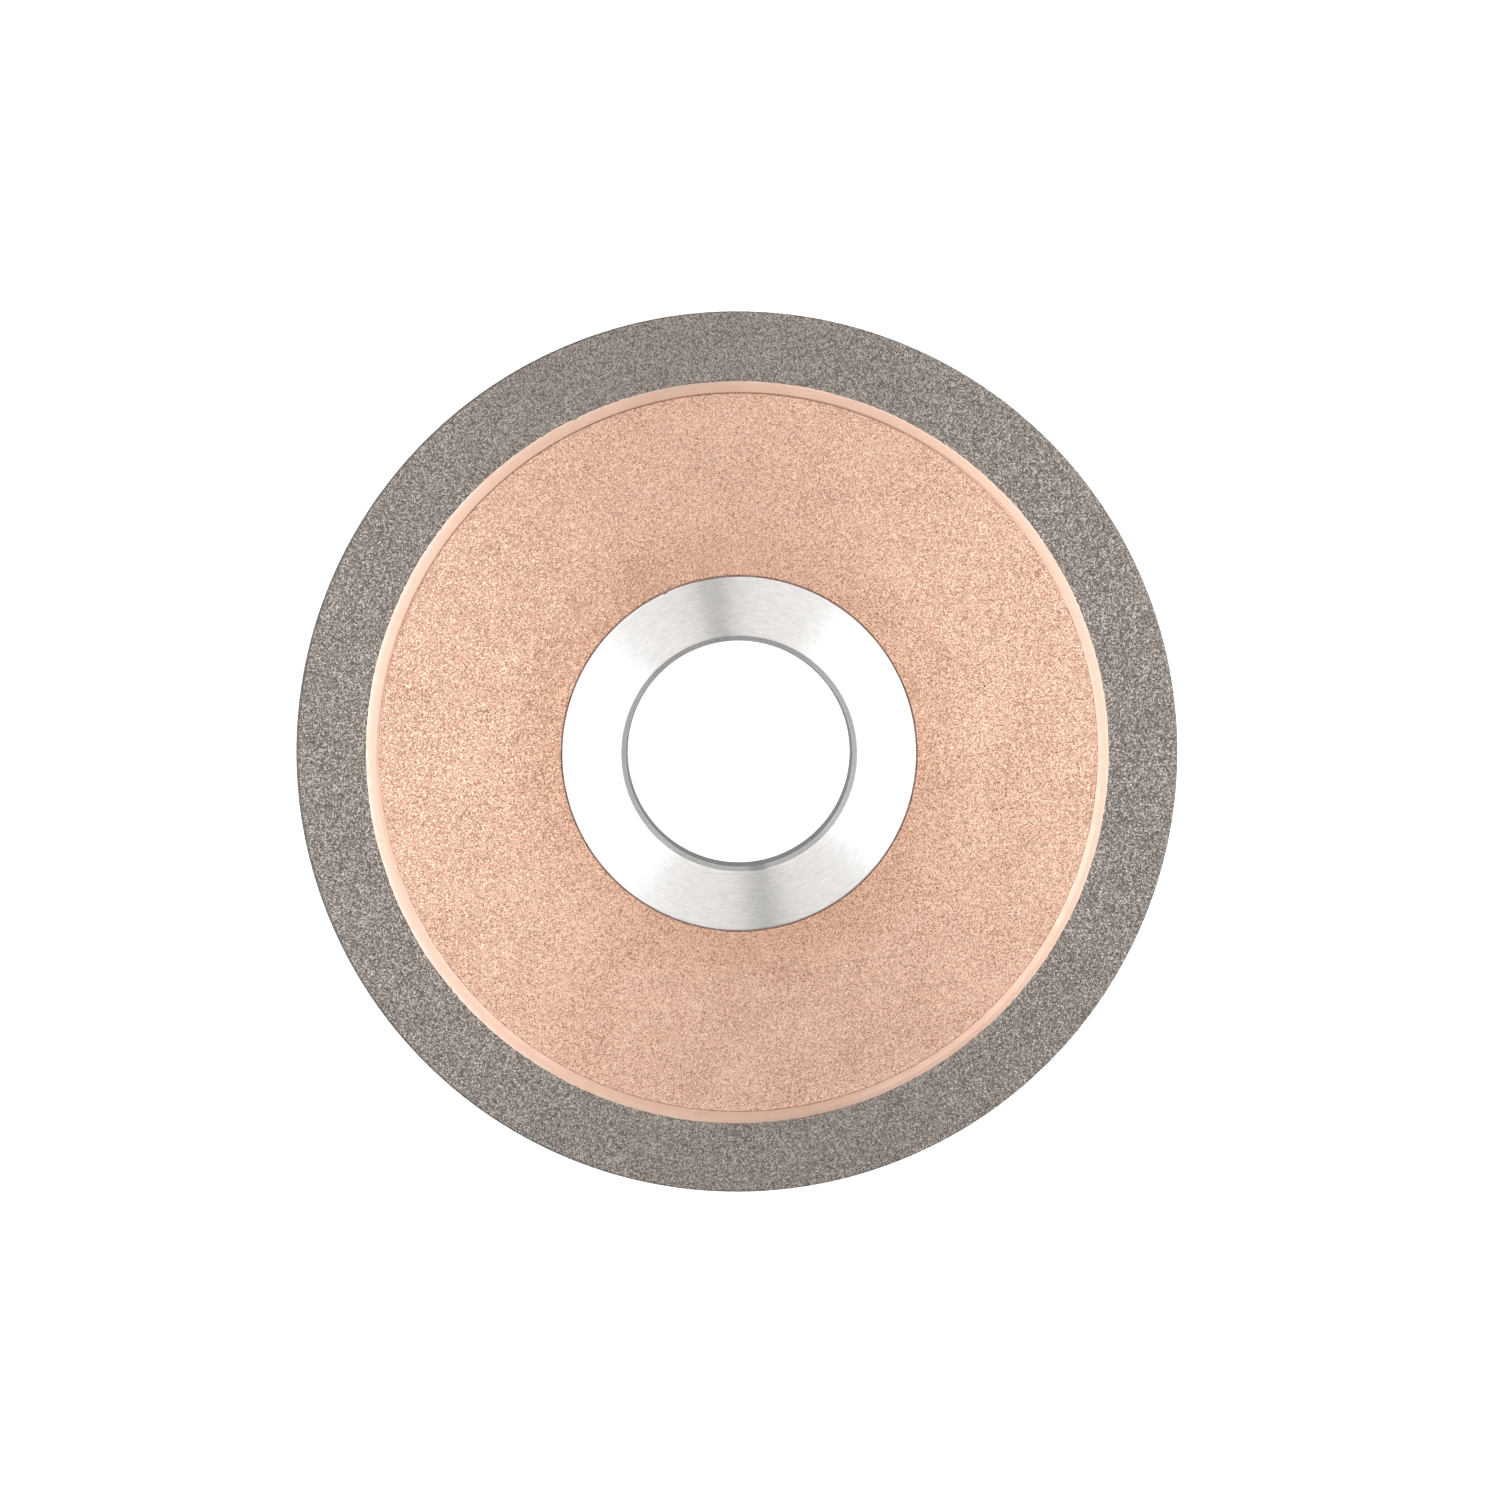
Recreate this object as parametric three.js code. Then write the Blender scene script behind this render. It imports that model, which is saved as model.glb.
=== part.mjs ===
// A straight diamond grinding wheel of the kind used to sharpen carbide tools and saw blades.
//
// It is five rings on one axis: a diamond-loaded rim, a smooth ring without diamond behind it, a moulded
// disc of copper-filled resin, an aluminium bush that carries the bore, and the thin line of cured resin
// that holds the bush in the disc. The whole wheel turns as one piece on the machine's spindle.
//
// Units are millimetres. The spin axis is +Z, and the wheel lies on its back face, so z = 0 is the lowest
// point and the origin is on the axis of the bore. Both faces are alike.
import * as THREE from "three";

// ---- driving dimensions -------------------------------------------------------------------------------
const WHEEL_DIAMETER = 125;
const WHEEL_THICKNESS = 10;
const BORE_DIAMETER = 32;
const BUSH_DIAMETER = 50;
const DIAMOND_WIDTH = 10; // radial width of the diamond-loaded rim
const TRANSITION_WIDTH = 1.5; // radial width of the smooth ring behind it

// ---- smaller features ---------------------------------------------------------------------------------
const BODY_RELIEF = 0.3; // how far the moulded faces of the disc lie below the trued faces
const RIM_EDGE_BREAK = 0.5; // both outer corners of the rim
const BORE_CHAMFER = 0.7; // both ends of the bore
const BUSH_EDGE_BREAK = 0.15; // both outer corners of the bush

const BOND_THICKNESS = 0.2; // resin between the bush and the disc
const BOND_RECESS = 0.4; // how far the resin line stops short of the bush's faces

const KEY_DEPTH = 0.8; // rib on the smooth ring that keys into a groove round the disc
const KEY_ROOT = 3; // height of the rib where it leaves the ring
const KEY_TIP = 2; // height of the rib at its inner edge

const RETAINING_GROOVE_DEPTH = 0.8; // two V grooves round the bush, filled by the resin
const RETAINING_GROOVE_HEIGHT = 1.6;
const RETAINING_GROOVE_PITCH = 4;

const SEGMENTS = 96; // facets round every ring: one count for all, so that neighbours meet face to face

// ---- derived radii and heights ------------------------------------------------------------------------
const RIM_OUTER = WHEEL_DIAMETER / 2;
const RIM_INNER = RIM_OUTER - DIAMOND_WIDTH;
const DISC_OUTER = RIM_INNER - TRANSITION_WIDTH;
const BUSH_OUTER = BUSH_DIAMETER / 2;
const DISC_INNER = BUSH_OUTER + BOND_THICKNESS;
const BORE_RADIUS = BORE_DIAMETER / 2;
const MID_HEIGHT = WHEEL_THICKNESS / 2;

// ---- finishes -----------------------------------------------------------------------------------------
const finishes = {
  diamond: { color: 0x948c85, roughness: 0.85, metalness: 0.1 },
  smoothCopper: { color: 0xe6c0a6, roughness: 0.35, metalness: 0.6 },
  mouldedCopper: { color: 0xe0b498, roughness: 0.6, metalness: 0.5 },
  curedResin: { color: 0x5a4038, roughness: 0.6, metalness: 0.0 },
  aluminium: { color: 0xe4e5e6, roughness: 0.3, metalness: 1.0 },
};

// A profile is a list of [radius, height] pairs, anticlockwise with radius to the right and height up.
// One half of a ring's outline is enough where both faces are alike: the other half is its mirror image
// in the middle plane of the wheel, in reverse order.
const mirrored = (points) => points.map(([radius, height]) => [radius, WHEEL_THICKNESS - height]).reverse();

// Turns a closed profile about the spin axis into one named ring.
function ring(name, profile, finish) {
  const outline = [...profile, profile[0]].map(([radius, height]) => new THREE.Vector2(radius, height));
  const geometry = new THREE.LatheGeometry(outline, SEGMENTS).rotateX(Math.PI / 2);
  const mesh = new THREE.Mesh(geometry, new THREE.MeshStandardMaterial(finish));
  mesh.name = name;
  return mesh;
}

// The wall between the smooth ring and the disc, from the lower face upwards: straight, with one rib that
// points inwards at mid height.
const keyWall = [
  [DISC_OUTER, MID_HEIGHT - KEY_ROOT / 2],
  [DISC_OUTER - KEY_DEPTH, MID_HEIGHT - KEY_TIP / 2],
  [DISC_OUTER - KEY_DEPTH, MID_HEIGHT + KEY_TIP / 2],
  [DISC_OUTER, MID_HEIGHT + KEY_ROOT / 2],
];

// The V grooves round the bush, from the lower one upwards.
const retainingGrooves = [-0.5, 0.5].flatMap((place) => {
  const middle = MID_HEIGHT + place * RETAINING_GROOVE_PITCH;
  return [
    [BUSH_OUTER, middle - RETAINING_GROOVE_HEIGHT / 2],
    [BUSH_OUTER - RETAINING_GROOVE_DEPTH, middle],
    [BUSH_OUTER, middle + RETAINING_GROOVE_HEIGHT / 2],
  ];
});

// The working rim: diamond grit in resin, trued on its face and both sides, with its corners broken.
function diamondRim() {
  const lowerHalf = [
    [RIM_INNER, 0],
    [RIM_OUTER - RIM_EDGE_BREAK, 0],
    [RIM_OUTER, RIM_EDGE_BREAK],
  ];
  return ring("diamond_rim", [...lowerHalf, ...mirrored(lowerHalf)], finishes.diamond);
}

// The ring without diamond between the rim and the disc. It is trued level with the rim, and a small slope
// leads from it down to the lower face of the disc.
function transitionRing() {
  const lowerHalf = [
    [DISC_OUTER, BODY_RELIEF],
    [DISC_OUTER + BODY_RELIEF, 0],
    [RIM_INNER, 0],
  ];
  const innerWall = [...keyWall].reverse();
  return ring("transition_ring", [...lowerHalf, ...mirrored(lowerHalf), ...innerWall], finishes.smoothCopper);
}

// The moulded disc, with a groove round it for the rib of the smooth ring.
function bodyDisc() {
  const bottom = BODY_RELIEF;
  const top = WHEEL_THICKNESS - BODY_RELIEF;
  const profile = [
    [DISC_INNER, bottom],
    [DISC_OUTER, bottom],
    ...keyWall,
    [DISC_OUTER, top],
    [DISC_INNER, top],
  ];
  return ring("body_disc", profile, finishes.mouldedCopper);
}

// The cured resin that fills the gap between the bush and the disc, and the grooves round the bush.
function bondLine() {
  const bottom = BOND_RECESS;
  const top = WHEEL_THICKNESS - BOND_RECESS;
  const profile = [
    [BUSH_OUTER, bottom],
    [DISC_INNER, bottom],
    [DISC_INNER, top],
    [BUSH_OUTER, top],
    ...[...retainingGrooves].reverse(),
  ];
  return ring("bush_bond_line", profile, finishes.curedResin);
}

// The turned bush: a chamfered bore, two flat faces for the spindle flanges, and the retaining grooves.
function hubBush() {
  const lowerHalf = [
    [BORE_RADIUS, BORE_CHAMFER],
    [BORE_RADIUS + BORE_CHAMFER, 0],
    [BUSH_OUTER - BUSH_EDGE_BREAK, 0],
    [BUSH_OUTER, BUSH_EDGE_BREAK],
  ];
  const profile = [...lowerHalf, ...retainingGrooves, ...mirrored(lowerHalf)];
  return ring("hub_bush", profile, finishes.aluminium);
}

const wheel = new THREE.Group();
wheel.name = "diamond_grinding_wheel";
wheel.add(diamondRim(), transitionRing(), bodyDisc(), bondLine(), hubBush());

export default wheel;
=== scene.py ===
"""A straight diamond grinding wheel, lying flat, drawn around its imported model.

Lengths are in metres, with MM for a millimetre. The spin axis is +Z through the origin, and the
wheel lies on z = 0. Named angles are in degrees, and those round the wheel run anticlockwise from +X
as seen from above.
"""

import math

import bpy
import numpy as np
from mathutils import Matrix, Vector


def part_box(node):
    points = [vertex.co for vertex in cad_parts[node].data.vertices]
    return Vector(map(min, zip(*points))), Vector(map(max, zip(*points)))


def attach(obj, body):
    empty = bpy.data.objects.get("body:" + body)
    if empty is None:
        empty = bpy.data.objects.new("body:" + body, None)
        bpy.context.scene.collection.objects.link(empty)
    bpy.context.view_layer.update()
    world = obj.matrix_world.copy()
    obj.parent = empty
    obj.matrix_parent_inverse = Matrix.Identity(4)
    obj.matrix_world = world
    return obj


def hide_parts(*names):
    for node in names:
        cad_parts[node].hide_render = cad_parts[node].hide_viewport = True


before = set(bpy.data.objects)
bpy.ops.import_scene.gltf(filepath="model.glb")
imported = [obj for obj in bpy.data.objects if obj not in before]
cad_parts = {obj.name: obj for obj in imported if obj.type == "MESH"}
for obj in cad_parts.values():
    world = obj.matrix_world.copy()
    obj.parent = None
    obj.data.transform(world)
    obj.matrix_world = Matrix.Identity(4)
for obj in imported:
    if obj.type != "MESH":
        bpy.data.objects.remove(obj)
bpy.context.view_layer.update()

MM = 0.001


# ---- sizes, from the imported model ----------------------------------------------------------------
def widest(node):
    """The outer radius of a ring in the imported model."""
    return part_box(node)[1].x


def narrowest(node):
    """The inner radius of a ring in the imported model."""
    return min(math.hypot(v.co.x, v.co.y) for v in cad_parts[node].data.vertices)


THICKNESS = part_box("diamond_rim")[1].z
RIM_OUTER = widest("diamond_rim")
RIM_INNER = narrowest("diamond_rim")
DISC_OUTER = widest("body_disc")
DISC_INNER = narrowest("body_disc")
DISC_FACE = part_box("body_disc")[1].z
BOND_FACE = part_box("bush_bond_line")[1].z
BUSH_OUTER = widest("hub_bush")
BORE = narrowest("hub_bush")
BORE_CHAMFER = 0.7 * MM
JOINT_GAP = 0.01 * MM  # between two pieces that touch, so that no faces coincide


# ---- building rings ------------------------------------------------------------------------------
def outline(corners, steps):
    """A closed outline through corners, each (radius, height, fillet). steps gives the spacing of
    the points along each side, the first being the one from the first corner to the second."""
    count = len(corners)
    places = [np.array(c[:2], float) for c in corners]
    bends = []  # for each corner: where its bend starts and ends, and the points along it
    for i, (_, _, fillet) in enumerate(corners):
        before = places[i - 1] - places[i]
        after = places[(i + 1) % count] - places[i]
        before, after = before / np.linalg.norm(before), after / np.linalg.norm(after)
        half = math.acos(np.clip(before @ after, -1, 1)) / 2
        reach = fillet / math.tan(half)
        start, end = places[i] + before * reach, places[i] + after * reach
        along = rounded(start, places[i], end) if fillet else [places[i]]
        bends.append((start, end, along))
    points = []
    for i in range(count):
        points += bends[i][2]
        start, end = bends[i][1], bends[(i + 1) % count][0]
        parts = max(1, round(np.linalg.norm(end - start) / steps[i]))
        points += [start + (end - start) * k / parts for k in range(1, parts)]
    return np.array(points)


def rounded(start, corner, end, parts=4):
    """Points from start to end on a smooth bend whose tangents meet at corner."""
    shares = [k / parts for k in range(parts + 1)]
    return [start * (1 - t) ** 2 + corner * 2 * t * (1 - t) + end * t**2 for t in shares]


def outward(points):
    """The unit normal of a closed anticlockwise outline at each of its points."""
    along = np.roll(points, -1, 0) - np.roll(points, 1, 0)
    normals = np.stack([along[:, 1], -along[:, 0]], 1)
    return normals / np.linalg.norm(normals, axis=1, keepdims=True)


def lathe(name, shape, segments):
    """A closed ring. shape(angles) gives radii and heights, a row for each point of the outline."""
    angles = np.arange(segments) * 2 * math.pi / segments
    radii, heights = shape(angles)
    rows = len(radii)
    places = np.stack([radii * np.cos(angles), radii * np.sin(angles), heights], 2).reshape(-1, 3)
    index = np.arange(rows * segments).reshape(rows, segments)
    up, on = np.roll(index, -1, 0), np.roll(index, -1, 1)
    quads = np.stack([index, on, np.roll(up, -1, 1), up], 2).reshape(-1, 4)
    mesh = bpy.data.meshes.new(name)
    mesh.vertices.add(len(places))
    mesh.vertices.foreach_set("co", places.astype(np.float32).ravel())
    mesh.loops.add(quads.size)
    mesh.loops.foreach_set("vertex_index", quads.astype(np.int32).ravel())
    mesh.polygons.add(len(quads))
    mesh.polygons.foreach_set("loop_start", np.arange(0, quads.size, 4, dtype=np.int32))
    mesh.update(calc_edges=True)
    mesh.polygons.foreach_set("use_smooth", np.ones(len(quads), bool))
    mesh.validate()
    piece = bpy.data.objects.new(name, mesh)
    bpy.context.scene.collection.objects.link(piece)
    return piece


def grain(places, cell, seed):
    """Smooth seeded noise from 0 to 1 at places, an array of points, in cells of that size."""
    low = places.reshape(-1, 3).min(0)
    at = (places - low) / cell
    whole = np.floor(at).astype(int)
    part = at - whole
    lattice = np.random.default_rng(seed).random(whole.reshape(-1, 3).max(0) + 2)
    total = np.zeros(places.shape[:-1])
    for corner in np.ndindex(2, 2, 2):
        share = np.prod(np.where(corner, part, 1 - part), -1)
        total += share * lattice[tuple(np.moveaxis(whole + corner, -1, 0))]
    return total


def waves(angles, counts, seed):
    """A seeded ripple round the wheel, about 1 high, made of that many waves to the turn."""
    random = np.random.default_rng(seed)
    phases = random.random(len(counts)) * 2 * math.pi
    ripple = sum(np.cos(n * angles + phase) for n, phase in zip(counts, phases))
    return ripple / math.sqrt(len(counts))


def pitted(points, angles, depth, cell, seed):
    """The radii and heights of an outline turned once round, with pits pushed into its skin. depth
    holds the deepest pit for each point of the outline."""
    normals = outward(points)
    radii = np.repeat(points[:, :1], len(angles), 1)
    heights = np.repeat(points[:, 1:], len(angles), 1)
    places = np.stack([radii * np.cos(angles), radii * np.sin(angles), heights], 2)
    push = grain(places, cell, seed) * depth[:, None]
    return radii - push * normals[:, :1], heights - push * normals[:, 1:]


def mirrored(corners):
    """The corners of the upper half of an outline, from those of its lower half."""
    return [(radius, THICKNESS - height, fillet) for radius, height, fillet in reversed(corners)]


# ---- the joint between the rim and the ring behind it --------------------------------------------
JOINT_DRIFT = 0.2 * MM  # the rim was moulded this much off centre, towards -X
JOINT_WANDER = 0.05 * MM
NOTCH = 116  # where a lump of grit breaks the line of the joint
NOTCH_DEPTH = 0.22 * MM
NOTCH_SPREAD = 0.4  # degrees


def joint_radius(angles):
    """Where the diamond layer ends. The two powders were pressed together, so the line wanders."""
    coarse = waves(angles, range(5, 40, 3), seed=3)
    fine = waves(angles, range(90, 330, 11), seed=4)
    notch = NOTCH_DEPTH * np.exp(-(((np.degrees(angles) - NOTCH) / NOTCH_SPREAD) ** 2))
    return RIM_INNER - JOINT_DRIFT * np.cos(angles) + JOINT_WANDER * (coarse + fine) / 2 - notch


def disc_edge_shift(angles):
    """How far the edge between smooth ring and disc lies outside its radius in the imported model. It
    lies a little inside it, most of all towards +X."""
    return -0.18 * MM - 0.06 * MM * np.cos(angles)


# ---- pieces --------------------------------------------------------------------------------------
SKIN_STEP = 0.4 * MM  # spacing of the points on a granular surface
HIDDEN_STEP = 2 * MM  # and on a hidden one
PLAIN = 1  # a step longer than any side, which leaves the side without points of its own
NEAR_WALL = 0.1 * MM  # this near to a wall where pieces touch, the skin has no pits
RIM_SEGMENTS = 1080
DISC_SEGMENTS = 640
BUSH_SEGMENTS = 480


def diamond_rim():
    """The diamond layer, whose outer edge was trued a little off centre, towards -X."""
    drift = 0.22 * MM
    outer = RIM_OUTER - drift
    edge = 0.3 * MM
    worn_width, worn_depth = 1.3 * MM, 0.07 * MM
    lower = [
        (RIM_INNER, 0.02 * MM, 0.05 * MM),
        (outer - worn_width, 0, 0),
        (outer, worn_depth, edge),
    ]
    points = outline(lower + mirrored(lower), [SKIN_STEP] * 5 + [HIDDEN_STEP])
    at_joint = points[:, 0] < RIM_INNER + NEAR_WALL
    depth = np.where(at_joint, 0.0, 0.03 * MM)

    def shape(angles):
        radii, heights = pitted(points, angles, depth, cell=0.5 * MM, seed=11)
        outwards = np.clip((points[:, :1] - RIM_INNER) / (outer - RIM_INNER), 0, 1)
        joint = (1 - outwards) * (joint_radius(angles) - RIM_INNER)
        return radii + joint - outwards * drift * np.cos(angles), heights

    return lathe("diamond_rim_skin", shape, RIM_SEGMENTS)


STEEP_SIDE = 112  # where the step between the smooth ring and the disc is sharpest


def transition_ring():
    """The smooth ring. The slope from it down to the disc is steep on one side of the wheel, and wide
    and soft on the other, so its outline is a mix of two."""
    fall = THICKNESS - DISC_FACE
    steep, wide = 0.06 * MM, 0.85 * MM

    def profile(slope):
        lower = [
            (DISC_OUTER, fall + 0.25 * MM, 0),  # hidden by the disc
            (DISC_OUTER, fall * 0.9, 0.02 * MM),  # just clear of the disc's face
            (DISC_OUTER + slope, 0, 0.05 * MM),  # the top of the slope
            (RIM_INNER - JOINT_GAP, 0, 0.12 * MM),
        ]
        half = [PLAIN, PLAIN, PLAIN, HIDDEN_STEP]
        return outline(lower + mirrored(lower), half + half)

    tight, soft = profile(steep), profile(wide)

    def shape(angles):
        mix = (0.5 - 0.5 * np.cos(angles - math.radians(STEEP_SIDE)))[None, :]
        radii = tight[:, :1] * (1 - mix) + soft[:, :1] * mix
        heights = tight[:, 1:] * (1 - mix) + soft[:, 1:] * mix
        share = np.clip((radii - DISC_OUTER - wide) / (RIM_INNER - DISC_OUTER - wide), 0, 1)
        joint = share * (joint_radius(angles) - RIM_INNER)
        return radii + joint + (1 - share) * disc_edge_shift(angles), heights

    return lathe("transition_ring_skin", shape, RIM_SEGMENTS)


def body_disc():
    """The moulded disc."""
    low = THICKNESS - DISC_FACE
    lower = [(DISC_INNER + JOINT_GAP, low, 0.08 * MM), (DISC_OUTER - JOINT_GAP, low, 0.15 * MM)]
    points = outline(lower + mirrored(lower), [SKIN_STEP, HIDDEN_STEP, SKIN_STEP, HIDDEN_STEP])
    at_bush = points[:, 0] < DISC_INNER + NEAR_WALL
    at_ring = points[:, 0] > DISC_OUTER - NEAR_WALL
    depth = np.where(at_bush | at_ring, 0.0, 0.035 * MM)

    def shape(angles):
        radii, heights = pitted(points, angles, depth, cell=0.5 * MM, seed=21)
        outwards = np.clip((points[:, :1] - DISC_INNER) / (DISC_OUTER - DISC_INNER), 0, 1)
        return radii + outwards * disc_edge_shift(angles), heights

    return lathe("body_disc_skin", shape, DISC_SEGMENTS)


def bond_line():
    """The resin round the bush, which stands at slightly different heights."""
    low = THICKNESS - BOND_FACE
    lower = [(BUSH_OUTER, low, 0), (DISC_INNER, low, 0)]
    fine = 0.05 * MM
    points = outline(lower + mirrored(lower), [fine, HIDDEN_STEP, fine, HIDDEN_STEP])

    def shape(angles):
        radii = np.repeat(points[:, :1], len(angles), 1)
        rise = 0.05 * MM * waves(angles, range(3, 60, 7), seed=31)
        towards = np.sign(points[:, 1:] - THICKNESS / 2)
        return radii, points[:, 1:] + towards * rise

    return lathe("bush_bond_line_skin", shape, BUSH_SEGMENTS)


def hub_bush():
    """The turned bush. Each pass of the tool left a ring of its own depth."""
    lower = [
        (BORE, BORE_CHAMFER, 0.03 * MM),
        (BORE + BORE_CHAMFER, 0, 0.03 * MM),
        (BUSH_OUTER - JOINT_GAP, 0, 0.12 * MM),
    ]
    on_chamfer, on_face = 0.2 * MM, 0.3 * MM
    on_bore = on_face
    steps = [on_chamfer, on_face, HIDDEN_STEP, on_face, on_chamfer, on_bore]
    points = outline(lower + mirrored(lower), steps)
    normals = outward(points)
    random = np.random.default_rng(41)
    depth = 0.002 * MM * random.random(len(points))

    def shape(angles):
        cut = points - normals * depth[:, None]
        return np.repeat(cut[:, :1], len(angles), 1), np.repeat(cut[:, 1:], len(angles), 1)

    return lathe("hub_bush_skin", shape, BUSH_SEGMENTS)


# ---- materials -----------------------------------------------------------------------------------
class Nodes:
    """Short ways to add nodes to a tree and join them."""

    def __init__(self, tree):
        self.tree = tree

    def node(self, kind, settings=None, **inputs):
        made = self.tree.nodes.new("ShaderNode" + kind)
        for name, value in (settings or {}).items():
            setattr(made, name, value)
        for name, value in inputs.items():
            self.feed(made, name.replace("_", " "), value)
        return made

    def feed(self, node, which, value):
        if isinstance(value, bpy.types.NodeSocket):
            self.tree.links.new(value, node.inputs[which])
        else:
            node.inputs[which].default_value = value

    def maths(self, operation, *values):
        made = self.node("Math", {"operation": operation})
        for place, value in enumerate(values):
            self.feed(made, place, value)
        return made.outputs[0]

    def vector(self, operation, *values):
        made = self.node("VectorMath", {"operation": operation})
        for place, value in enumerate(values):
            self.feed(made, place, value)
        return made.outputs["Value" if operation in ("LENGTH", "DOT_PRODUCT") else "Vector"]

    def scaled(self, vector, by):
        made = self.node("VectorMath", {"operation": "SCALE"})
        self.feed(made, 0, vector)
        self.feed(made, "Scale", by)
        return made.outputs["Vector"]

    def between(self, value, low, high, to_low, to_high):
        """value, moved from the range low to high into another range, and kept within it."""
        made = self.node("MapRange", Value=value, From_Min=low, From_Max=high)
        self.feed(made, "To Min", to_low)
        self.feed(made, "To Max", to_high)
        return made.outputs["Result"]

    def mixed(self, *shares):
        """A sum of values, from pairs, each (value, how much of it)."""
        total = 0
        for value, share in shares:
            total = self.maths("ADD", total, self.maths("MULTIPLY", value, share))
        return total

    def colours(self, value, *stops):
        """A colour for value, through stops, each (place, (red, green, blue))."""
        made = self.node("ValToRGB", Fac=value)
        marks = made.color_ramp.elements
        while len(marks) < len(stops):
            marks.new(0.5)
        for mark, (place, colour) in zip(marks, stops):
            mark.position = place
            mark.color = (*colour, 1)
        return made.outputs["Color"]

    def blended(self, first, second, share):
        """A colour between two, which is the second where share is 1."""
        rest = self.maths("SUBTRACT", 1, share)
        return self.vector("ADD", self.scaled(first, rest), self.scaled(second, share))

    def parts(self, vector):
        """The three numbers in a vector or a colour."""
        return self.node("SeparateXYZ", Vector=vector).outputs

    def noise(self, where, size, detail=2.0, roughness=0.5):
        made = self.node("TexNoise", Vector=where, Scale=1 / size, Detail=detail, Roughness=roughness)
        return made.outputs["Fac"]

    def grains(self, where, size):
        """Random grains of that size. Returns three random numbers for each, as a colour."""
        return self.node("TexVoronoi", Vector=where, Scale=1 / size).outputs["Color"]


class Finish(Nodes):
    """A material, made of nodes."""

    def __init__(self, name):
        self.material = bpy.data.materials.new(name)
        self.material.use_nodes = True
        super().__init__(self.material.node_tree)
        self.surface = self.tree.nodes["Principled BSDF"]

    def put(self, **inputs):
        """Sets or links the surface's own inputs."""
        for name, value in inputs.items():
            self.feed(self.surface, name.replace("_", " "), value)

    def normal(self):
        return self.node("NewGeometry").outputs["Normal"]

    def level(self):
        """1 where the surface is level, and 0 where it is upright."""
        return self.maths("ABSOLUTE", self.parts(self.normal())["Z"])

    def place(self):
        return self.node("TexCoord").outputs["Object"]

    def from_axis(self):
        """The way from the spin axis to here."""
        return self.vector("MULTIPLY", self.place(), (1, 1, 0))

    def radial(self):
        """The direction away from the spin axis."""
        return self.vector("NORMALIZE", self.from_axis())

    def radius(self):
        return self.vector("LENGTH", self.from_axis())

    def brushed(self, amount):
        """Draws highlights out across the marks of a turning tool, which run round the wheel."""
        tangent = self.node("Tangent", {"direction_type": "RADIAL", "axis": "Z"})
        quarter_turn = 0.25
        self.put(
            Anisotropic=amount,
            Anisotropic_Rotation=quarter_turn,
            Tangent=tangent.outputs["Tangent"],
        )

    def bumps(self, height, strength, depth):
        """The surface's normal, on bumps of that height."""
        return self.node("Bump", Strength=strength, Distance=depth, Height=height).outputs["Normal"]

    def prominence(self, grains):
        """How far each grain stands proud and leans, from 0 to 1."""
        offset = self.maths("SUBTRACT", self.parts(grains)["X"], 0.5)
        return self.maths("MULTIPLY", self.maths("ABSOLUTE", offset), 2)

    def tilted(self, grains, across, along, evenness):
        """The surface's normal, tilted at random for each grain. It is tilted by up to across towards
        or away from the spin axis, and by up to along the way the wheel turns, since truing leaves its
        marks that way. An evenness of 1 spreads the tilts evenly, and a higher one leaves most grains
        nearly level."""
        random = self.parts(self.vector("SUBTRACT", grains, (0.5, 0.5, 0.5)))
        radial = self.radial()
        turning = self.vector("CROSS_PRODUCT", (0, 0, 1), radial)
        lean = self.maths("POWER", self.prominence(grains), evenness)
        lean = self.maths("MULTIPLY", lean, across)
        lean = self.maths("MULTIPLY", lean, self.maths("SIGN", random["X"]))
        tilt = self.scaled(radial, lean)
        tilt_along = self.scaled(turning, self.maths("MULTIPLY", random["Y"], 2 * along))
        tilt_up = self.upright(self.maths("MULTIPLY", random["Z"], 2 * along))
        total = self.vector("ADD", self.vector("ADD", tilt, tilt_along), tilt_up)
        return self.vector("NORMALIZE", self.vector("ADD", self.normal(), total))

    def upright(self, length):
        """A vector of that length along the spin axis."""
        return self.node("CombineXYZ", Z=length).outputs["Vector"]

    def mark(self, start, end, width):
        """1 on a straight mark from start to end, and 0 away from it."""
        along = Vector(end) - Vector(start)
        offset = self.vector("SUBTRACT", self.place(), start)
        share = self.maths("DIVIDE", self.vector("DOT_PRODUCT", offset, along), along.length_squared)
        nearest = self.scaled(along, self.between(share, 0, 1, 0, 1))
        miss = self.vector("LENGTH", self.vector("SUBTRACT", offset, nearest))
        return self.between(miss, width / 4, width / 2, 1, 0)

    def turning_lines(self, pitch, length):
        """Noise drawn out round the wheel, as the marks of a turning tool are: about pitch apart, and
        length long."""
        around = self.scaled(self.radial(), self.maths("DIVIDE", self.radius(), length))
        away = self.maths("DIVIDE", self.radius(), pitch)
        height = self.maths("DIVIDE", self.parts(self.place())["Z"], pitch)
        where = self.vector("ADD", around, self.upright(self.maths("ADD", away, height)))
        return self.noise(where, 1, detail=3.0, roughness=0.6)


GRIT = 0.16 * MM
COPPER_GRAIN = 0.14 * MM


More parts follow.
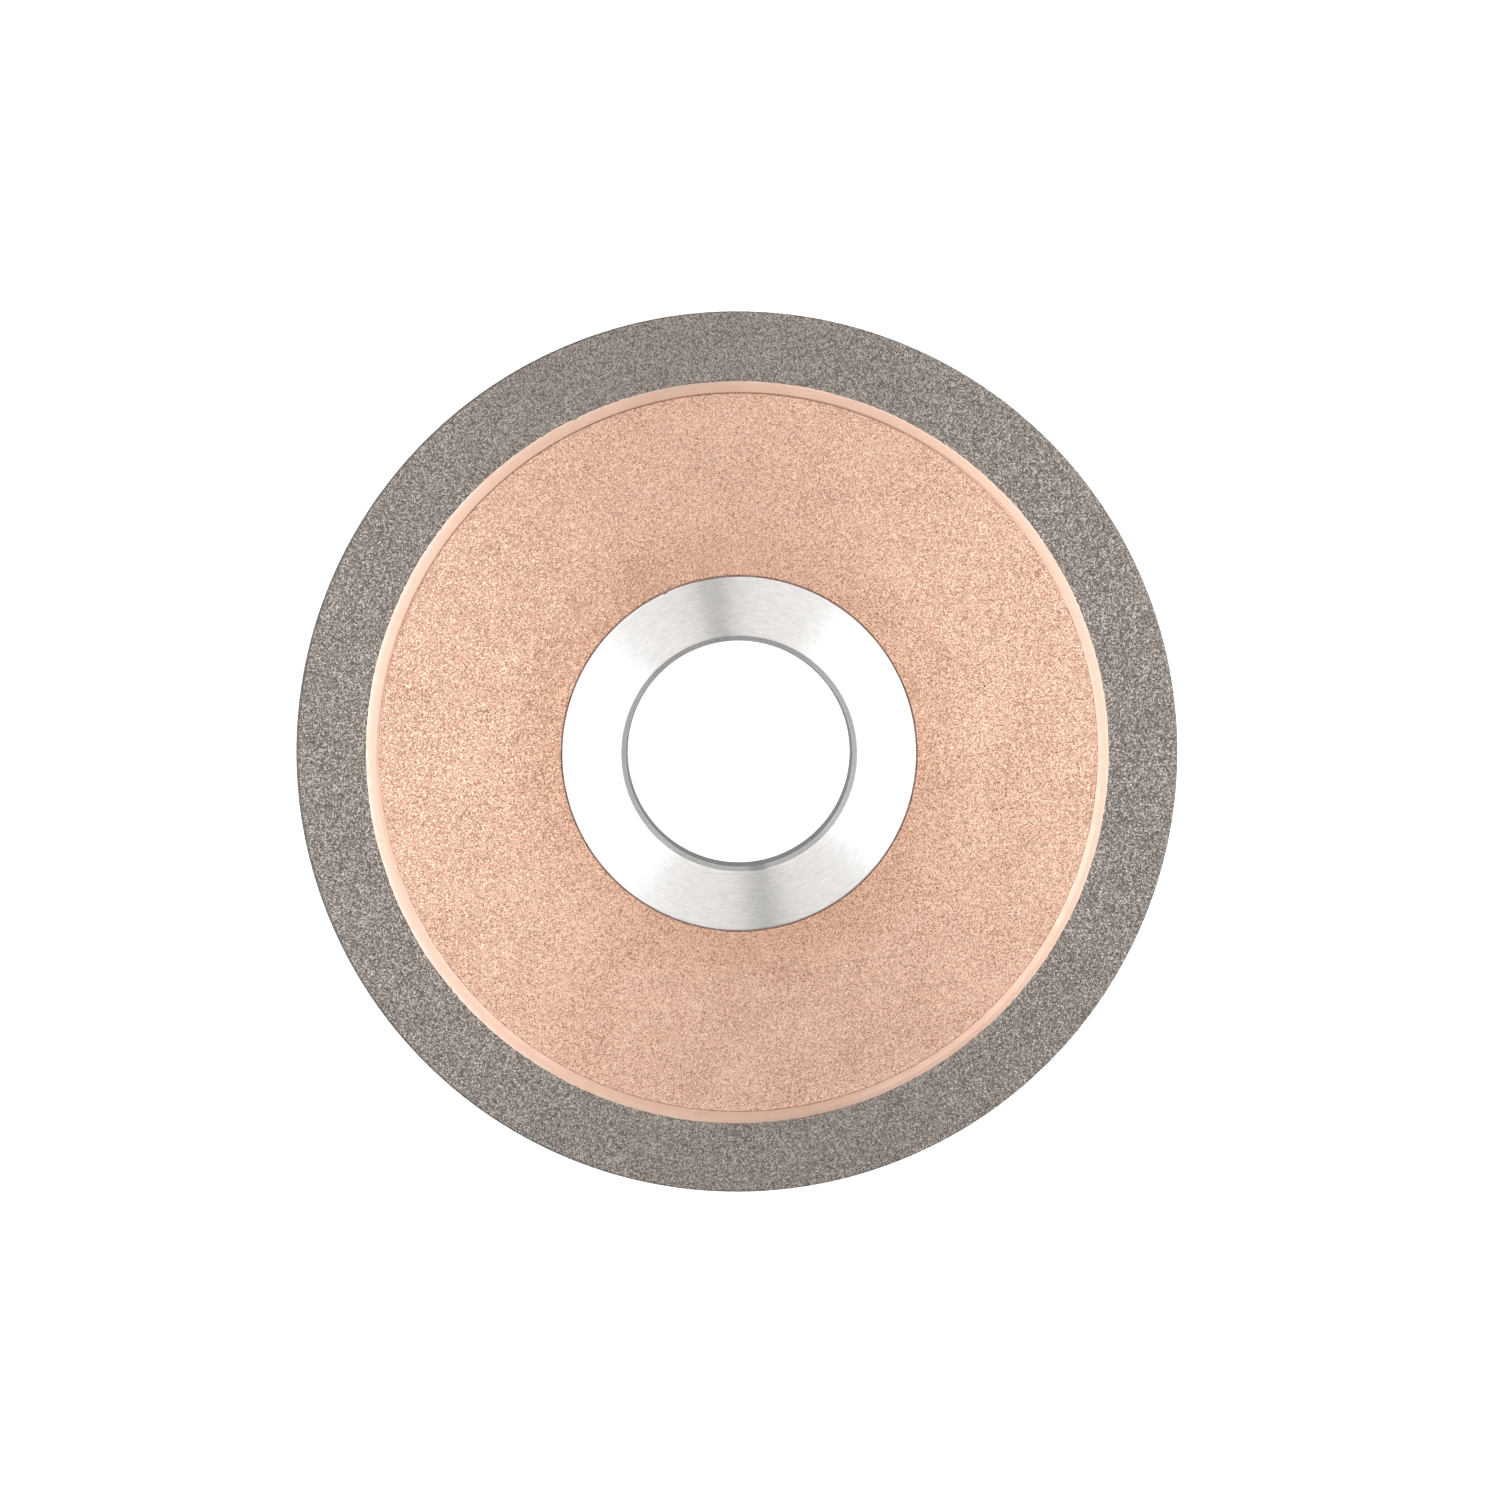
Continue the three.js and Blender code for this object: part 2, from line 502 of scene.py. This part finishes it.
def diamond_finish():
    """Diamond grit in grey resin, trued: matt, with grains that catch the light."""
    f = Finish("diamond_grit_in_resin")
    grains = f.grains(f.place(), GRIT)
    clouds = f.noise(f.place(), 6 * MM)
    # Painted shade: the colour darkens to 0.4 of itself over the rounded outer edge and on the outer
    # wall.
    painted_edge_shade = f.between(f.radius(), RIM_OUTER - 0.5 * MM, RIM_OUTER - 0.3 * MM, 1, 0.4)
    # Partly painted light and shade: each grain's colour follows its prominence, so grains that lean
    # and glint are lighter and low ones darker, over the grit's own random tone.
    colour = f.colours(
        f.mixed((f.prominence(grains), 0.9), (clouds, 0.1)),
        (0.0, (0.033, 0.025, 0.019)),
        (0.5, (0.143, 0.117, 0.099)),
        (1.0, (0.395, 0.348, 0.316)),
    )
    shine = f.parts(grains)["Z"]
    f.put(
        Base_Color=f.scaled(colour, painted_edge_shade),
        Metallic=0.4,
        Roughness=f.between(shine, 0, 1, 0.2, 0.42),
        IOR=1.8,
        Normal=f.tilted(grains, across=0.68, along=0.12, evenness=4),
    )
    return f.material


COPPER = (0.98, 0.612, 0.478)
PAINTED_EDGE_HIGHLIGHT = (0.8, 0.75, 0.71)  # painted highlight: the pale colour along the smooth ring's outer edge, where its rounded edge catches the light


def tinted(colour, by):
    """A colour seen through a filter, so each of its parts is scaled by one of the filter's."""
    return tuple(c * b for c, b in zip(colour, by))


def smooth_copper_finish():
    """Copper-filled resin, trued smooth, with fine lines left by the tool."""
    f = Finish("smooth_copper_resin")
    lines = f.turning_lines(0.15 * MM, 1.5 * MM)
    clouds = f.noise(f.place(), 2.5 * MM, detail=3.0)
    tone = f.mixed((lines, 0.4), (clouds, 0.6))
    colour = f.colours(
        tone,
        (0.3, tinted(COPPER, (0.79, 0.83, 0.82))),
        (0.7, tinted(COPPER, (0.85, 0.96, 0.99))),
    )
    on_slope = f.between(f.level(), 0.985, 0.93, 0, 1)
    # Painted shade: the slope down to the disc is coloured 8% darker.
    colour = f.scaled(colour, f.between(on_slope, 0, 1, 1, 0.92))
    # Painted highlight: a pale colour is blended in, in patches, along the ring's outer edge.
    at_edge = f.between(f.radius(), RIM_INNER - 0.5 * MM, RIM_INNER - 0.15 * MM, 0, 1)
    highlight_patches = f.noise(f.place(), 1.2 * MM, detail=3.0)
    painted_highlight = f.maths("MULTIPLY", at_edge, f.between(highlight_patches, 0.38, 0.52, 0, 0.35))
    colour = f.blended(colour, PAINTED_EDGE_HIGHLIGHT, painted_highlight)
    polish = f.between(tone, 0.3, 0.7, 0.34, 0.27)
    f.put(
        Base_Color=colour,
        Metallic=1.0,
        Roughness=f.mixed((polish, 1), (on_slope, 0.2)),
        Normal=f.bumps(lines, strength=0.25, depth=0.004 * MM),
    )
    f.brushed(0.85)
    return f.material


def moulded_copper_finish():
    """Copper-filled resin as moulded: pressed grains, each lying its own way."""
    f = Finish("moulded_copper_resin")
    grains = f.grains(f.place(), COPPER_GRAIN)
    clouds = f.noise(f.place(), 7 * MM, detail=3.0)
    # Painted shade: the disc's colour is darkened and warmed towards the bush.
    near_bush = f.between(f.radius(), DISC_INNER, DISC_INNER + 9 * MM, 1, 0)
    shade = f.blended((1, 1, 1), (0.9, 0.86, 0.81), near_bush)
    # Partly painted light and shade: grains that lean more are lighter and low ones darker, over the
    # resin's own random tone.
    colour = f.colours(
        f.mixed((f.prominence(grains), 0.45), (f.parts(grains)["Z"], 0.35), (clouds, 0.2)),
        (0.08, tinted(COPPER, (0.2, 0.13, 0.1))),
        (0.34, tinted(COPPER, (0.54, 0.49, 0.44))),
        (0.58, tinted(COPPER, (0.80, 0.835, 0.81))),
        (0.9, tinted(COPPER, (0.86, 0.955, 0.955))),
    )
    f.put(
        Base_Color=f.vector("MULTIPLY", colour, shade),
        Metallic=0.85,
        IOR=2.0,
        Roughness=f.between(f.parts(grains)["X"], 0, 1, 0.16, 0.3),
        Normal=f.tilted(grains, across=0.235, along=0.08, evenness=1.2),
    )
    return f.material


def resin_finish():
    """The dark line of cured resin round the bush."""
    f = Finish("cured_resin")
    tone = f.noise(f.place(), 0.4 * MM)
    colour = f.colours(tone, (0.3, (0.10, 0.055, 0.05)), (0.7, (0.24, 0.15, 0.13)))
    f.put(
        Base_Color=colour,
        Roughness=f.between(tone, 0, 1, 0.4, 0.7),
        Normal=f.bumps(tone, strength=0.4, depth=0.02 * MM),
    )
    return f.material


def on_bush(x, y):
    """A place on the bush's face, from millimetres."""
    return (x * MM, y * MM, THICKNESS)


SCRATCHES = (
    (on_bush(8.7, -19.0), on_bush(13.0, -17.5)),
    (on_bush(8.0, -18.3), on_bush(10.3, -17.8)),
)
SCRATCH_WIDTH = 0.14 * MM
CRUMB = (on_bush(-10.15, 22.75), on_bush(-10.65, 22.5))  # dark resin, left near the bush's edge
CRUMB_WIDTH = 0.2 * MM


def aluminium_finish():
    """Turned aluminium, with the tool's concentric lines."""
    f = Finish("turned_aluminium")
    lines = f.turning_lines(0.11 * MM, 1.6 * MM)
    colour = f.colours(lines, (0.3, (0.73, 0.73, 0.73)), (0.7, (0.94, 0.925, 0.915)))
    on_face = f.between(f.level(), 0.75, 0.95, 0, 1)
    polish = f.between(on_face, 0, 1, 0.17, 0.31)
    # Painted shade: the chamfer and other sloped faces are coloured 3% darker than the level face.
    colour = f.scaled(colour, f.between(on_face, 0, 1, 0.97, 1))
    for start, end in SCRATCHES:
        colour = f.scaled(colour, f.between(f.mark(start, end, SCRATCH_WIDTH), 0, 1, 1, 1.15))
    colour = f.scaled(colour, f.between(f.mark(*CRUMB, CRUMB_WIDTH), 0, 1, 1, 0.3))
    f.put(
        Base_Color=colour,
        Metallic=1.0,
        Roughness=f.maths("SUBTRACT", polish, f.between(lines, 0.3, 0.7, 0, 0.04)),
        Normal=f.bumps(lines, strength=0.35, depth=0.004 * MM),
    )
    f.brushed(1.0)
    return f.material


def bored_finish():
    """The wall of the bore: dull, with rings left by the boring tool, and coloured near-black as
    painted shade inside the bore.
    """
    f = Finish("bored_aluminium")
    height = f.parts(f.place())["Z"]
    ring = 0.25 * MM
    rings = f.node("TexNoise", {"noise_dimensions": "1D"}, W=height, Scale=1 / ring).outputs["Fac"]
    specks = f.noise(f.place(), 0.3 * MM)
    tone = f.mixed((rings, 0.6), (specks, 0.4))
    # Painted shade: the aluminium wall is coloured near-black for the shade inside the bore.
    colour = f.colours(tone, (0.3, (0.075, 0.073, 0.069)), (0.7, (0.135, 0.132, 0.126)))
    f.put(
        Base_Color=colour,
        Metallic=0.1,
        Roughness=f.between(tone, 0.3, 0.7, 0.7, 0.5),
        Specular_IOR_Level=0.2,
        Normal=f.bumps(rings, strength=0.5, depth=0.01 * MM),
    )
    return f.material


def paint_bore(bush):
    """Gives the faces on the wall of the bore their own material."""
    bush.data.materials.append(bored_finish())
    for face in bush.data.polygons:
        if math.hypot(face.center.x, face.center.y) < BORE + 0.02 * MM:
            face.material_index = 1


def fit(piece, node, material):
    """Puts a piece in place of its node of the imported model."""
    piece.data.materials.append(material)
    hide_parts(node)
    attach(piece, "root")


# ---- floor, light and camera ---------------------------------------------------------------------
def glowing(name, colour, roughness, glow):
    """The finish of a floor or a wall, matt and plain, which gives off a little light of its own."""
    f = Finish(name)
    f.put(
        Base_Color=(*colour, 1),
        Roughness=roughness,
        Emission_Color=(1, 1, 1, 1),
        Emission_Strength=glow,
    )
    return f.material


FLOOR_HALF = 6.0  # half the length of the floor's sides


def floor():
    """A plain pale floor."""
    mesh = bpy.data.meshes.new("floor")
    half = FLOOR_HALF
    corners = [(-half, -half, 0), (half, -half, 0), (half, half, 0), (-half, half, 0)]
    mesh.from_pydata(corners, [], [(0, 1, 2, 3)])
    made = bpy.data.objects.new("floor", mesh)
    made.data.materials.append(glowing("floor", (0.9, 0.9, 0.9), roughness=0.9, glow=0.35))
    bpy.context.scene.collection.objects.link(made)


def backdrop():
    """A plain pale wall all round the floor, which only the camera sees."""
    near, far, top = FLOOR_HALF - 0.2, FLOOR_HALF - 0.1, 4.0
    corners = [(near, 0, 0), (far, 0, 0), (far, top, 0), (near, top, 0)]
    points = outline(corners, [top] * 4)

    def shape(angles):
        return np.repeat(points[:, :1], len(angles), 1), np.repeat(points[:, 1:], len(angles), 1)

    material = glowing("backdrop", (0, 0, 0), roughness=1.0, glow=1.0)
    material.cycles.emission_sampling = "NONE"
    made = lathe("backdrop", shape, 96)
    made.data.materials.append(material)
    made.visible_diffuse = False
    made.visible_glossy = False
    made.visible_shadow = False


CEILING = 0.97  # how bright the room is overhead, beside 1 for white
WALLS = 0.46  # and near the horizon
ROOM_COLOUR = (1.0, 0.98, 0.96)
WINDOW = 125  # the side where the ceiling is brightest
WINDOW_GLOW = 0.6  # how much brighter it is there than in its middle
BEAM = 99  # a black beam crosses the ceiling in this direction, between the two lights


def past_beam(room, direction):
    """How far a direction has turned past the beam, from 0 at one of its ends to 1 at the other."""
    turned = room.node("VectorRotate", {"rotation_type": "Z_AXIS"}, Vector=direction)
    room.feed(turned, "Angle", math.radians(-BEAM))
    whole_turns = room.node(
        "TexGradient", {"gradient_type": "RADIAL"}, Vector=turned.outputs["Vector"]
    )
    return room.maths("FRACT", room.maths("MULTIPLY", whole_turns.outputs["Fac"], 2))


def surroundings():
    """A plain pale room, brighter overhead, with a black beam across its ceiling."""
    world = bpy.data.worlds.new("room")
    world.use_nodes = True
    room = Nodes(world.node_tree)
    direction = room.node("TexCoord").outputs["Generated"]
    black, edge, middle = [(grey, grey, grey) for grey in (0, 1.08, 1.15)]
    shade = room.colours(
        past_beam(room, direction),
        (0, black),
        (0.015, black),
        (0.033, edge),
        (0.5, middle),
        (0.967, edge),
        (0.985, black),
        (1, black),
    )
    window = math.radians(WINDOW)
    towards = room.vector("DOT_PRODUCT", direction, (math.cos(window), math.sin(window), 0))
    dimmest, brightest = CEILING * (1 - WINDOW_GLOW), CEILING * (1 + WINDOW_GLOW)
    glow = room.between(towards, -1, 1, dimmest, brightest)
    ceiling = room.maths("MULTIPLY", shade, glow)
    overhead = room.between(room.parts(direction)["Z"], 0.1, 0.6, 0, 1)
    background = world.node_tree.nodes["Background"]
    room.feed(background, "Strength", room.between(overhead, 0, 1, WALLS, ceiling))
    room.feed(background, "Color", (*ROOM_COLOUR, 1))
    bpy.context.scene.world = world


SOFTBOX_COLOUR = (0.95, 1.0, 1.05)
SOFTBOX_WIDTH = 1.6
SOFTBOX_ELEVATION = 45
SOFTBOX_DISTANCE = 1.0


def softbox(name, towards, height, radiance):
    """A rectangular soft light aimed at the wheel. towards is its angle round the wheel."""
    light = bpy.data.lights.new(name, "AREA")
    light.shape = "RECTANGLE"
    light.size, light.size_y = SOFTBOX_WIDTH, height
    light.energy = radiance * math.pi * SOFTBOX_WIDTH * height
    light.color = SOFTBOX_COLOUR
    made = bpy.data.objects.new(name, light)
    around, up = math.radians(towards), math.radians(SOFTBOX_ELEVATION)
    away = Vector((math.cos(around) * math.cos(up), math.sin(around) * math.cos(up), math.sin(up)))
    made.location = away * SOFTBOX_DISTANCE
    made.rotation_euler = away.to_track_quat("Z", "Y").to_euler()
    bpy.context.scene.collection.objects.link(made)


BRIGHT_SIDE = 7  # the lights stand either side of the wheel, on a line turned this much from X


def lights():
    """Each light is a soft panel, and a brighter tube along its middle that makes the grit glint."""
    for name, side in (("right", BRIGHT_SIDE), ("left", BRIGHT_SIDE + 180)):
        softbox("panel_" + name, side, height=0.8, radiance=0.45)
        softbox("tube_" + name, side, height=0.1, radiance=12.5)


LENS = 70  # mm, on a sensor 36 mm wide
FIELD = 211.8 * MM  # what the view takes in across, at the wheel's face
LEAN = 2.2  # degrees between the line of sight and the spin axis
LEAN_SIDE = 112  # the camera leans this way
AIM = Vector((1.5 * MM, 0.55 * MM, THICKNESS))


def camera():
    """Looks almost straight down on the wheel."""
    sight = bpy.data.cameras.new("camera")
    sight.lens = LENS
    sight.clip_start = 0.01
    made = bpy.data.objects.new("camera", sight)
    lean, side = math.radians(LEAN), math.radians(LEAN_SIDE)
    back = Vector((math.sin(lean) * math.cos(side), math.sin(lean) * math.sin(side), math.cos(lean)))
    made.location = AIM + back * (FIELD * LENS / sight.sensor_width)
    right = Vector((0, 1, 0)).cross(back).normalized()
    turned = Matrix((right, back.cross(right), back)).transposed()
    made.rotation_euler = turned.to_euler()
    bpy.context.scene.collection.objects.link(made)
    bpy.context.scene.camera = made


# ---- the scene -----------------------------------------------------------------------------------
camera()
fit(diamond_rim(), "diamond_rim", diamond_finish())
fit(transition_ring(), "transition_ring", smooth_copper_finish())
fit(body_disc(), "body_disc", moulded_copper_finish())
fit(bond_line(), "bush_bond_line", resin_finish())
bush = hub_bush()
fit(bush, "hub_bush", aluminium_finish())
paint_bore(bush)
floor()
backdrop()
surroundings()
lights()

bpy.context.scene.view_settings.view_transform = "Standard"
